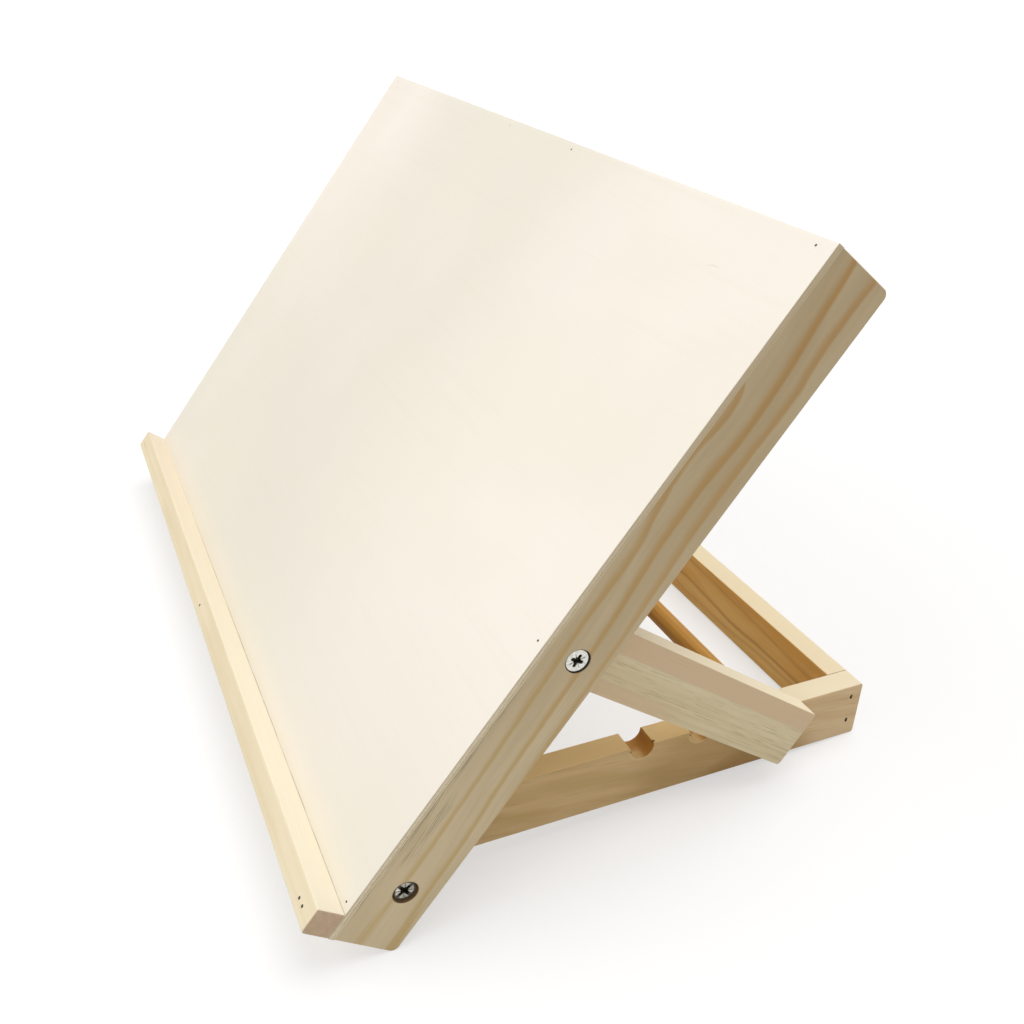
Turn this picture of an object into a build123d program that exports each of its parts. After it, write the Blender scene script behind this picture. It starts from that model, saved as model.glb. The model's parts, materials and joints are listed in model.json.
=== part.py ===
from build123d import *
from math import acos, asin, atan2, cos, degrees, hypot, pi, sin
import os

# A tabletop drawing-board easel in pine and plywood. A panel on a rail frame turns on a notched base,
# and a swinging prop holds it up: the prop's dowel drops into one of the base's three pairs of notches.
# Lengths are in millimetres. X runs across the board, Y to the back, Z up, and the origin is at the middle
# of the footprint, on the table.

# Board
board_width = 458.0
board_length = 312.0
panel_thickness = 3.0
stock_thickness = 12.0
stock_width = 30.0
ledge_width = 12.0
ledge_height = 12.5
ledge_front_radius = 1.5
frame_corner_radius = 3.0
edge_radius = 0.6
panel_edge_radius = 0.4

# Upper pivot, measured up the board from its lower end
upper_pivot_height = 141.5

# Base, measured back from the lower pivot, with the notches counted from its rear end
base_reach = 240.0
last_notch_inset = 61.0
notch_pitch = 30.5
notch_count = 3
notch_play = 0.65
notch_sink = 0.8
seat_play = 1.2
seat_sink = 0.35
seat_lip_radius = 1.5
rail_corner_radius = 1.5

# Prop
prop_reach = 135.1
prop_overhang = 17.9
dowel_diameter = 10.0
dowel_socket_depth = 7.0
dowel_seat_drop = 0.5

# Pivot screws and spacers
screw_shank_diameter = 5.0
screw_head_diameter = 9.4
screw_rim_height = 0.4
screw_rim_radius = 0.15
screw_bite = 9.0
screw_tip_length = 3.0
prop_screw_depth = 0.25
prop_screw_turn = 4.0
base_screw_depth = 1.1
base_screw_turn = 36.0
recess_span = 5.8
recess_slot = 1.5
recess_core = 3.2
recess_depth = 2.0
recess_taper = 8.0
tick_span = 6.8
tick_slot = 0.5
tick_depth = 0.3
spacer_inset = 3.7

# Pins, nails and hidden dowels
pin_head_height = 0.6
panel_pin_diameter = 0.7
panel_pin_head_diameter = 0.9
panel_pin_length = 12.0
side_pin_inset = 4.0
side_pin_rise = 3.0
side_pin_middle = 141.0
top_pin_inset = 3.5
top_pin_corner_inset = 9.0
top_pin_offset = 36.0
ledge_pin_diameter = 0.9
ledge_pin_head_diameter = 1.4
ledge_pin_length = 25.0
ledge_pin_setback = 5.2
ledge_pin_side_inset = 8.6
ledge_pin_rail_inset = 0.9
nail_diameter = 1.5
nail_length = 30.0
nail_sink = 0.3
nail_rise = 8.4
nail_fall = 5.6
corner_dowel_diameter = 8.0
corner_dowel_length = 26.0
corner_dowel_bite = 8.0
corner_dowel_cover = 2.0

# Clearances, and how far a cut runs past the face it opens
layer_gap = 0.4
swing_clearance = 0.3
nose_clearance = 1.3
shank_clearance = 0.08
glue_clearance = 0.05
prop_head_clearance = 0.35
base_head_clearance = 0.6
cut_overrun = 1.0
match_distance = 0.01

# Values that follow from the sizes above
half_width = board_width / 2
frame_depth = panel_thickness + stock_width
pivot_depth = panel_thickness + stock_width / 2
swing_radius = stock_width / 2 - swing_clearance
lower_pivot_height = stock_thickness + swing_radius + nose_clearance
rail_inner_x = half_width - stock_thickness
arm_outer_x = rail_inner_x - layer_gap
arm_inner_x = arm_outer_x - stock_thickness
base_outer_x = arm_inner_x - layer_gap
base_inner_x = base_outer_x - stock_thickness
dowel_radius = dowel_diameter / 2
notch_radius = dowel_radius + notch_play
seat_radius = dowel_radius + seat_play
notches = [base_reach - last_notch_inset - i * notch_pitch for i in range(notch_count)]
sides = {"right": 1, "left": -1}

# The slope of the board follows from the triangle of lower pivot, upper pivot and seated dowel
dowel_y = notches[0]
dowel_z = swing_radius - dowel_seat_drop
pivot_spacing = upper_pivot_height - lower_pivot_height
dowel_distance = hypot(dowel_y, dowel_z)
triangle_cosine = (pivot_spacing**2 + dowel_distance**2 - prop_reach**2) / (2 * pivot_spacing * dowel_distance)
board_angle = acos(triangle_cosine) + atan2(dowel_z, dowel_y)
upper_pivot_y = pivot_spacing * cos(board_angle)
upper_pivot_z = pivot_spacing * sin(board_angle)
prop_angle = atan2(dowel_z - upper_pivot_z, dowel_y - upper_pivot_y)

# The easel stands on the board's rounded lower back edge and on the base's rounded rear edge,
# so the base leans by the slope of the line that touches both edges from below
heel_up = frame_corner_radius - lower_pivot_height
heel_out = frame_corner_radius - stock_width / 2
heel_y = heel_up * cos(board_angle) - heel_out * sin(board_angle)
heel_z = heel_up * sin(board_angle) + heel_out * cos(board_angle)
tail_y = base_reach - rail_corner_radius
tail_z = rail_corner_radius - swing_radius
stance_length = hypot(tail_y - heel_y, tail_z - heel_z)
stance_rise = asin((rail_corner_radius - frame_corner_radius) / stance_length)
base_lean = atan2(tail_z - heel_z, tail_y - heel_y) - stance_rise

# Places of the three groups: each is drawn in a plane of its own, with X across the easel,
# Y along its rails and Z square to them, and then turned about its pivot
board_place = Rot(X=degrees(board_angle)) * Pos(0, -lower_pivot_height, pivot_depth)
prop_place = Pos(0, upper_pivot_y, upper_pivot_z) * Rot(X=degrees(prop_angle))


def block(x_low, x_high, y_low, y_high, z_low, z_high):
    """A square-edged piece of stock between six planes."""
    size = Box(x_high - x_low, y_high - y_low, z_high - z_low)
    return Pos((x_low + x_high) / 2, (y_low + y_high) / 2, (z_low + z_high) / 2) * size


def span(sign, x_near, x_far):
    """The X limits of a piece on one side, given its two distances from the middle plane."""
    return sorted((sign * x_near, sign * x_far))


def bar(x_low, x_high, y, z, radius):
    """A round bar along X."""
    return Pos((x_low + x_high) / 2, y, z) * Rot(Y=90) * Cylinder(radius, x_high - x_low)


def peg(x, y, z_low, z_high, radius):
    """A round peg along Z."""
    return Pos(x, y, (z_low + z_high) / 2) * Cylinder(radius, z_high - z_low)


def edges_at(solid, axis, *places):
    """The edges along one axis that pass through the given places in the plane across it."""
    others = {Axis.X: ("Y", "Z"), Axis.Y: ("X", "Z"), Axis.Z: ("X", "Y")}[axis]
    found = []
    for edge in solid.edges().filter_by(axis):
        centre = edge.center()
        at = [getattr(centre, name) for name in others]
        if any(hypot(at[0] - place[0], at[1] - place[1]) < match_distance for place in places):
            found.append(edge)
    return found


def face_outline(solid, axis, last=True):
    """The edges round the flat face at one end of a piece along an axis."""
    return solid.faces().filter_by(axis).sort_by(axis)[-1 if last else 0].outer_wire().edges()


# Pins, nails and screws

def headed_pin(length, shank_diameter, head_diameter):
    """A pin with its head's top at the origin, pointing along -Z."""
    head = peg(0, 0, -pin_head_height, 0, head_diameter / 2)
    shank = peg(0, 0, -length, -pin_head_height, shank_diameter / 2)
    return head + shank


def pin_hole(length, shank_diameter, head_diameter):
    """The hole that a pin of this size makes."""
    reach = length + glue_clearance
    seat = pin_head_height + glue_clearance
    head = peg(0, 0, -seat, cut_overrun, head_diameter / 2 + glue_clearance)
    shank = peg(0, 0, -reach, -seat, shank_diameter / 2 + glue_clearance)
    return head + shank


def crossed(length, width):
    """Two slots across each other, with round ends."""
    return SlotOverall(length, width) + Rot(Z=90) * SlotOverall(length, width)


def pivot_screw(length, turn):
    """A countersunk cross-recess screw with its head's face at the origin, pointing along -X."""
    head_radius = screw_head_diameter / 2
    shank_radius = screw_shank_diameter / 2
    head_height = screw_rim_height + head_radius - shank_radius
    outline = Polyline(
        (0, 0),
        (head_radius, 0),
        (head_radius, -screw_rim_height),
        (shank_radius, -head_height),
        (shank_radius, screw_tip_length - length),
        (0, -length),
        close=True,
    )
    body = revolve(Plane.XZ * make_face(outline), Axis.Z)
    body = fillet(face_outline(body, Axis.Z), screw_rim_radius)
    recess = crossed(recess_span, recess_slot) + Circle(recess_core / 2)
    body -= extrude(recess, -recess_depth, taper=recess_taper)
    body -= extrude(Rot(Z=45) * crossed(tick_span, tick_slot), -tick_depth)
    return Rot(Y=90) * Rot(Z=turn) * body


def countersunk_bore(depth, head_clearance, length):
    """The hole of a pivot screw that is sunk by a depth: a running bore under a countersink."""
    head_radius = screw_head_diameter / 2 + head_clearance
    bore_radius = screw_shank_diameter / 2 + shank_clearance
    floor = -depth - screw_rim_height - (head_radius - bore_radius)
    cone_top = floor + head_radius - bore_radius
    outline = Polyline(
        (0, cut_overrun),
        (head_radius, cut_overrun),
        (head_radius, cone_top),
        (bore_radius, floor),
        (bore_radius, -length - cut_overrun),
        (0, -length - cut_overrun),
        close=True,
    )
    return Rot(Y=90) * revolve(Plane.XZ * make_face(outline), Axis.Z)


def mirrored_x(solid):
    """The same piece on the other side of the easel."""
    return mirror(solid, Plane.YZ)


def on_side(sign, solid):
    """A piece drawn for the right side, on the side that is asked for."""
    return solid if sign > 0 else mirrored_x(solid)


# Places of the pins: two down each side of the panel, four along its top, and in the ledge two pairs
# and a middle pin
panel_pin = (panel_pin_length, panel_pin_diameter, panel_pin_head_diameter)
ledge_pin = (ledge_pin_length, ledge_pin_diameter, ledge_pin_head_diameter)
side_pins = [(half_width - side_pin_inset, y) for y in (ledge_width + side_pin_rise, side_pin_middle)]
top_pins = [(x, board_length - top_pin_inset) for x in (top_pin_offset, half_width - top_pin_corner_inset)]
panel_pin_places = [(sign * x, y) for sign in sides.values() for x, y in side_pins + top_pins]
ledge_pin_pair = (half_width - ledge_pin_side_inset, rail_inner_x - ledge_pin_rail_inset)
ledge_pin_places = [(sign * x, ledge_pin_setback) for sign in sides.values() for x in ledge_pin_pair]
ledge_pin_places += [(0, ledge_pin_setback)]


def with_pin_holes(solid):
    """Cuts the holes of every panel and ledge pin out of a piece of the board."""
    for x, y in panel_pin_places:
        solid -= Pos(x, y, 0) * pin_hole(*panel_pin)
    for x, y in ledge_pin_places:
        solid -= Pos(x, y, ledge_height) * pin_hole(*ledge_pin)
    return solid


# Each corner of the frame is held by a hidden dowel along X
corner_dowel_outer = rail_inner_x + corner_dowel_bite
deepest_pin = max(panel_pin_length, ledge_pin_length - ledge_height)
corner_dowel_z = -deepest_pin - corner_dowel_cover - corner_dowel_diameter / 2
corner_rows = [stock_thickness / 2, board_length - stock_thickness / 2]
corners = [(sign, y) for sign in sides.values() for y in corner_rows]


def corner_dowel(sign, y, clearance):
    """One corner dowel, or its hole when it is given a clearance."""
    outer = corner_dowel_outer + clearance
    inner = corner_dowel_outer - corner_dowel_length - clearance
    x_low, x_high = span(sign, inner, outer)
    return bar(x_low, x_high, y, corner_dowel_z, corner_dowel_diameter / 2 + clearance)


def with_corner_holes(solid):
    """Cuts the corner dowels' holes out of a rail."""
    for sign, y in corners:
        solid -= corner_dowel(sign, y, glue_clearance)
    return solid


# Board, drawn with Y up its slope from the lower end and Z out of its drawing face

def drawing_panel():
    """The plywood sheet."""
    sheet = block(-half_width, half_width, 0, board_length, -panel_thickness, 0)
    sheet = fillet(face_outline(sheet, Axis.Z), panel_edge_radius)
    return with_pin_holes(sheet)


def side_rail(sign):
    """A rail under one side of the panel, with the bores of both pivots."""
    rail = block(rail_inner_x, half_width, 0, board_length, -frame_depth, -panel_thickness)
    back_corners = [(0, -frame_depth), (board_length, -frame_depth)]
    rail = fillet(edges_at(rail, Axis.X, *back_corners), frame_corner_radius)
    sanded = [edge for edge in face_outline(rail, Axis.X) if edge.center().Z < -panel_thickness - match_distance]
    sanded += edges_at(rail, Axis.Y, (rail_inner_x, -frame_depth))
    rail = fillet(sanded, edge_radius)
    lower_bore = countersunk_bore(base_screw_depth, base_head_clearance, stock_thickness)
    upper_bore = countersunk_bore(prop_screw_depth, prop_head_clearance, stock_thickness)
    rail -= Pos(half_width, lower_pivot_height, -pivot_depth) * lower_bore
    rail -= Pos(half_width, upper_pivot_height, -pivot_depth) * upper_bore
    return with_corner_holes(with_pin_holes(on_side(sign, rail)))


def end_rail(y_outer, y_inner):
    """A rail between the side rails, with its outer back edge rounded as theirs are."""
    y_low, y_high = sorted((y_outer, y_inner))
    rail = block(-rail_inner_x, rail_inner_x, y_low, y_high, -frame_depth, -panel_thickness)
    rail = fillet(edges_at(rail, Axis.X, (y_outer, -frame_depth)), frame_corner_radius)
    rail = fillet(edges_at(rail, Axis.X, (y_inner, -frame_depth)), edge_radius)
    return with_corner_holes(with_pin_holes(rail))


def paper_ledge():
    """The strip that stops paper sliding off the panel."""
    strip = block(-half_width, half_width, 0, ledge_width, 0, ledge_height)
    strip = fillet(edges_at(strip, Axis.X, (0, ledge_height)), ledge_front_radius)
    strip = fillet(edges_at(strip, Axis.X, (ledge_width, ledge_height)), edge_radius)
    ends = face_outline(strip, Axis.X) + face_outline(strip, Axis.X, last=False)
    strip = fillet([edge for edge in ends if edge.center().Z > match_distance], edge_radius)
    return with_pin_holes(strip)


def panel_pins():
    """Pins through the panel into the rails."""
    return [Pos(x, y, 0) * headed_pin(*panel_pin) for x, y in panel_pin_places]


def ledge_pins():
    """Pins through the ledge into the bottom rail."""
    return [Pos(x, y, ledge_height) * headed_pin(*ledge_pin) for x, y in ledge_pin_places]


def corner_dowels():
    """Glued dowels between the side rails and the rails across."""
    return [corner_dowel(sign, y, 0) for sign, y in corners]


# Prop, drawn with Y along its arms from the upper pivot

prop_screw_length = stock_thickness + layer_gap + screw_bite - prop_screw_depth
base_screw_length = half_width - base_outer_x + screw_bite - base_screw_depth


def rounded_rail(x_low, x_high, length):
    """A rail with a half round about the origin, so that it can turn there, and a square far end."""
    square_end = length - rail_corner_radius
    side_height = swing_radius - rail_corner_radius
    bend = rail_corner_radius * sin(pi / 4)
    top = Line((0, swing_radius), (square_end, swing_radius))
    top_corner = ThreePointArc(top @ 1, (square_end + bend, side_height + bend), (length, side_height))
    end = Line(top_corner @ 1, (length, -side_height))
    bottom_corner = ThreePointArc(end @ 1, (square_end + bend, -side_height - bend), (square_end, -swing_radius))
    bottom = Line(bottom_corner @ 1, (0, -swing_radius))
    nose = ThreePointArc(bottom @ 1, (-swing_radius, 0), top @ 0)
    outline = Plane.YZ * make_face(Curve() + [top, top_corner, end, bottom_corner, bottom, nose])
    rail = Pos(x_low, 0, 0) * extrude(outline, x_high - x_low)
    return fillet(face_outline(rail, Axis.X) + face_outline(rail, Axis.X, last=False), edge_radius)


def screw_socket(x_face, x_head, length):
    """The threaded hole that a pivot screw makes below a face."""
    radius = screw_shank_diameter / 2 + glue_clearance
    return bar(x_head - length - glue_clearance, x_face + cut_overrun, 0, 0, radius)


def prop_arm(sign):
    """An arm with its pivot hole and the dowel's socket."""
    length = prop_reach + prop_overhang
    arm = rounded_rail(arm_inner_x, arm_outer_x, length)
    arm -= screw_socket(arm_outer_x, half_width - prop_screw_depth, prop_screw_length)
    socket_end = arm_inner_x + dowel_socket_depth + glue_clearance
    arm -= bar(arm_inner_x - cut_overrun, socket_end, prop_reach, 0, dowel_radius + glue_clearance)
    return on_side(sign, arm)


def prop_dowel():
    """The round bar between the arms."""
    reach = arm_inner_x + dowel_socket_depth
    return bar(-reach, reach, prop_reach, 0, dowel_radius)


def prop_screw(sign):
    """The upper pivot screw of one side, fixed in its arm."""
    screw = pivot_screw(prop_screw_length, prop_screw_turn)
    return on_side(sign, Pos(half_width - prop_screw_depth, 0, 0) * screw)


# Base, drawn with Y along its rails from the lower pivot

nail_line = base_reach - stock_thickness / 2
nail_heights = (nail_rise, -nail_fall)


def nail(z, clearance):
    """One nail of the rear corner, or its hole when it is given a clearance."""
    head = base_outer_x - nail_sink
    mouth = cut_overrun + nail_sink if clearance else 0
    return bar(head - nail_length - clearance, head + mouth, nail_line, z, nail_diameter / 2 + clearance)


def with_nail_holes(solid):
    """Cuts the nails' holes on both sides out of a piece of the base."""
    for z in nail_heights:
        hole = nail(z, glue_clearance)
        solid -= hole
        solid -= mirrored_x(hole)
    return solid


def notch_lip(radius, sink, lip_radius):
    """One side of a notch's mouth: where its round lip leaves the rail's top, bends and meets the hollow."""
    apart = radius + lip_radius
    drop = lip_radius - sink
    reach = (apart**2 - drop**2)**0.5
    touch = radius / apart
    turn = (pi / 2 + asin(drop / apart)) / 2
    bend = (reach - lip_radius * cos(turn), lip_radius * (sin(turn) - 1))
    return (reach, 0), bend, (reach * touch, -sink - drop * touch)


def notch(y, radius, sink, lip_radius):
    """A round notch in the top of a base rail, with its axis sunk below the top and its two lips rounded."""
    rear = notch_lip(radius, sink, lip_radius)
    front = [(-across, up) for across, up in rear]
    near_lip = ThreePointArc(*front)
    hollow = ThreePointArc(near_lip @ 1, (0, -sink - radius), rear[2])
    far_lip = ThreePointArc(hollow @ 1, rear[1], rear[0])
    lid = Polyline(far_lip @ 1, (rear[0][0], cut_overrun), (front[0][0], cut_overrun), near_lip @ 0)
    outline = Plane.YZ * make_face(Curve() + [near_lip, hollow, far_lip, lid])
    cutter = extrude(outline, stock_thickness + 2 * cut_overrun)
    return Pos(base_inner_x - cut_overrun, y, swing_radius) * cutter


def base_rail(sign):
    """A base rail with its pivot hole and notches, the last one wide enough for the dowel to swing out."""
    rail = rounded_rail(base_inner_x, base_outer_x, base_reach)
    rail -= notch(notches[0], seat_radius, seat_sink, seat_lip_radius)
    for y in notches[1:]:
        rail -= notch(y, notch_radius, notch_sink, edge_radius)
    rail -= screw_socket(base_outer_x, half_width - base_screw_depth, base_screw_length)
    return on_side(sign, with_nail_holes(rail))


def rear_cross_rail():
    """The rail that joins the base rails at the back."""
    inner_y = base_reach - stock_thickness
    rail = block(-base_inner_x, base_inner_x, inner_y, base_reach, -swing_radius, swing_radius)
    for y, radius in ((base_reach, rail_corner_radius), (inner_y, edge_radius)):
        rail = fillet(edges_at(rail, Axis.X, (y, -swing_radius), (y, swing_radius)), radius)
    return with_nail_holes(rail)


def base_nails():
    """Two nails a side, through the base rails into the rear cross rail."""
    right = [nail(z, 0) for z in nail_heights]
    return right + [mirrored_x(one) for one in right]


def pivot_spacer(sign):
    """The spacer on the lower pivot, which fills the layer that the prop arm turns in."""
    bore_radius = screw_shank_diameter / 2 + shank_clearance
    ring = bar(base_outer_x, arm_outer_x, 0, 0, swing_radius - spacer_inset)
    ring -= bar(base_outer_x - cut_overrun, arm_outer_x + cut_overrun, 0, 0, bore_radius)
    return on_side(sign, ring)


def base_screw(sign):
    """The lower pivot screw of one side, fixed in its base rail."""
    screw = pivot_screw(base_screw_length, base_screw_turn)
    return on_side(sign, Pos(half_width - base_screw_depth, 0, 0) * screw)


def build_nodes():
    """Every piece by name, at rest, in the base's own frame with the lower pivot at the origin."""
    board = {
        "drawing_panel": drawing_panel(),
        "top_rail": end_rail(board_length, board_length - stock_thickness),
        "bottom_rail": end_rail(0, stock_thickness),
        "paper_ledge": paper_ledge(),
        "panel_pins": panel_pins(),
        "ledge_pins": ledge_pins(),
        "corner_dowels": corner_dowels(),
    }
    prop = {"prop_dowel": prop_dowel()}
    base = {"rear_cross_rail": rear_cross_rail(), "base_nails": base_nails()}
    for side, sign in sides.items():
        board[f"{side}_side_rail"] = side_rail(sign)
        prop[f"{side}_prop_arm"] = prop_arm(sign)
        prop[f"{side}_prop_screw"] = prop_screw(sign)
        base[f"{side}_base_rail"] = base_rail(sign)
        base[f"{side}_pivot_spacer"] = pivot_spacer(sign)
        base[f"{side}_base_screw"] = base_screw(sign)
    return {"board": board, "prop": prop, "base": base}


def solids_of(piece):
    """The separate solids of a node."""
    if isinstance(piece, list):
        return [solid for one in piece for solid in one.solids()]
    return list(piece.solids())


def placed_nodes():
    """Every node's solids at rest, standing on the table with the footprint's middle at the origin."""
    lean = Rot(X=-degrees(base_lean))
    places = {"board": lean * board_place, "prop": lean * prop_place, "base": lean}
    leaning = {}
    for group, pieces in build_nodes().items():
        for name, piece in pieces.items():
            leaning[name] = [places[group] * solid for solid in solids_of(piece)]
    boxes = [solid.bounding_box() for solids in leaning.values() for solid in solids]
    front = min(box.min.Y for box in boxes)
    back = max(box.max.Y for box in boxes)
    lowest = min(box.min.Z for box in boxes)
    stand = Pos(0, -(front + back) / 2, -lowest)
    pivots = {
        "lower": stand * lean * Pos(0, 0, 0),
        "upper": stand * lean * Pos(0, upper_pivot_y, upper_pivot_z),
    }
    return {name: [stand * solid for solid in solids] for name, solids in leaning.items()}, pivots


nodes, pivots = placed_nodes()
os.makedirs("parts", exist_ok=True)
for node_name, node_solids in nodes.items():
    shape = node_solids[0] if len(node_solids) == 1 else Compound(node_solids)
    export_step(shape, f"parts/{node_name}.step")

print("board angle to the base", round(degrees(board_angle), 3), "base lean", round(degrees(base_lean), 3))
print("prop angle to the base", round(degrees(prop_angle), 3))
for pivot_name, pivot in pivots.items():
    print(pivot_name, "pivot", [round(value, 4) for value in tuple(pivot.position)])
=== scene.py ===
import json
import math

import bpy
from mathutils import Matrix, Vector


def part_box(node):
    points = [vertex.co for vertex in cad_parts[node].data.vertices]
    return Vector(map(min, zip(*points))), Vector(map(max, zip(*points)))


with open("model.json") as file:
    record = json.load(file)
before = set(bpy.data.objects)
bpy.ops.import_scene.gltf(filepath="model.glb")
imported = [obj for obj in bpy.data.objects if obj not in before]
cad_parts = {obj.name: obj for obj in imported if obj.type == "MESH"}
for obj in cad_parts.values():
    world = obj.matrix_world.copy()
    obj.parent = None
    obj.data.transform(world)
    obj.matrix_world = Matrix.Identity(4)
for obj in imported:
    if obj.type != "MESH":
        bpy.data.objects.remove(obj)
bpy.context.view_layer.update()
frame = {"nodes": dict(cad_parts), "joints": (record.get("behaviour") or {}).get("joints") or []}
nodes = frame["nodes"]

# Places of the three groups, from the joints. Each group has a plane of its own, in millimetres, with X
# across the easel, Y along its rails and Z square to them. The board's starts at the lower end of its
# drawing face, the prop's at the upper pivots and the base's at the lower ones. The board tilts until it is
# square with the base, and the prop folds until it is in line with the board.
MM = 0.001
LOWER_PIVOT_ON_BOARD = Vector((0, 28, -18))
joints = {joint["name"]: joint for joint in frame["joints"]}
lower_pivot = Vector(joints["board_tilt"]["pos_m"])
upper_pivot = Vector(joints["prop_swing"]["pos_m"])
tilt_range = math.radians(joints["board_tilt"]["range_deg"][1])
fold_range = math.radians(joints["prop_swing"]["range_deg"][1])
up_board = upper_pivot - lower_pivot
board_slope = math.atan2(up_board.z, up_board.y)
prop_slope = board_slope - fold_range
base_slope = board_slope + tilt_range - math.pi / 2
board_corner = lower_pivot - Matrix.Rotation(board_slope, 3, "X") @ LOWER_PIVOT_ON_BOARD * MM
PLACES = {
    "board": (board_corner, board_slope),
    "prop": (upper_pivot, prop_slope),
    "base": (lower_pivot, base_slope),
}


def outer_side(name):
    """How far a node reaches across the easel, in millimetres from the middle."""
    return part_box(name)[1].x / MM


# Sizes on the pieces that the finishes follow, in millimetres
HALF_WIDTH = outer_side("drawing_panel")
BASE_OUTER = outer_side("right_base_rail")
PROP_SCREW_FACE = outer_side("right_prop_screw")
BASE_SCREW_FACE = outer_side("right_base_screw")
UPPER_PIVOT_ON_BOARD = LOWER_PIVOT_ON_BOARD + Vector((0, up_board.length / MM, 0))
BOARD_LENGTH = 312.0
PANEL_THICKNESS = 3.0
CORE_HIGH = -0.9
CORE_LOW = -2.1
BACK_BAND_WIDTH = 17.0
LEDGE_WIDTH = 12.0
UPPER_HOLE_RADIUS = 5.05
LOWER_HOLE_RADIUS = 5.3
SCREW_HEAD_RADIUS = 4.7
BASE_SCREW_TURN = math.radians(36)
NAIL_LINE = 234.0
NAIL_HEIGHTS = (8.4, -5.6)
NAIL_PIT_HALF_WIDTH = 0.85
NAIL_PIT_HALF_HEIGHT = 1.3

# Notches of the base rails: each one's place along the rail, the height of its middle and its radius
NOTCHES = ((118.0, 13.9, 5.65), (148.5, 13.9, 5.65), (179.0, 14.35, 6.2))

# A faint curved scratch on the panel, in millimetres
SCRATCH_X = 180.0
SCRATCH_Y = 287.7
SCRATCH_HALF_LENGTH = 5.0
SCRATCH_HALF_WIDTH = 0.45
SCRATCH_RISE = 0.7


def tone(red, green, blue):
    """A colour given as it looks on a screen, 0 to 255, in the linear values that shaders take."""
    def linear(value):
        share = value / 255
        return share / 12.92 if share <= 0.04045 else ((share + 0.055) / 1.055) ** 2.4
    return (linear(red), linear(green), linear(blue), 1.0)


# Tones that several finishes share
END_GRAIN = tone(204, 168, 136)
END_OLIVE = tone(190, 164, 122)
# Dark of torn fibres and of the rails' joint with the panel; also painted shade in the crease along the
# ledge
FIBRE_JOINT_AND_SHADE_DARK = tone(104, 86, 60)


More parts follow.
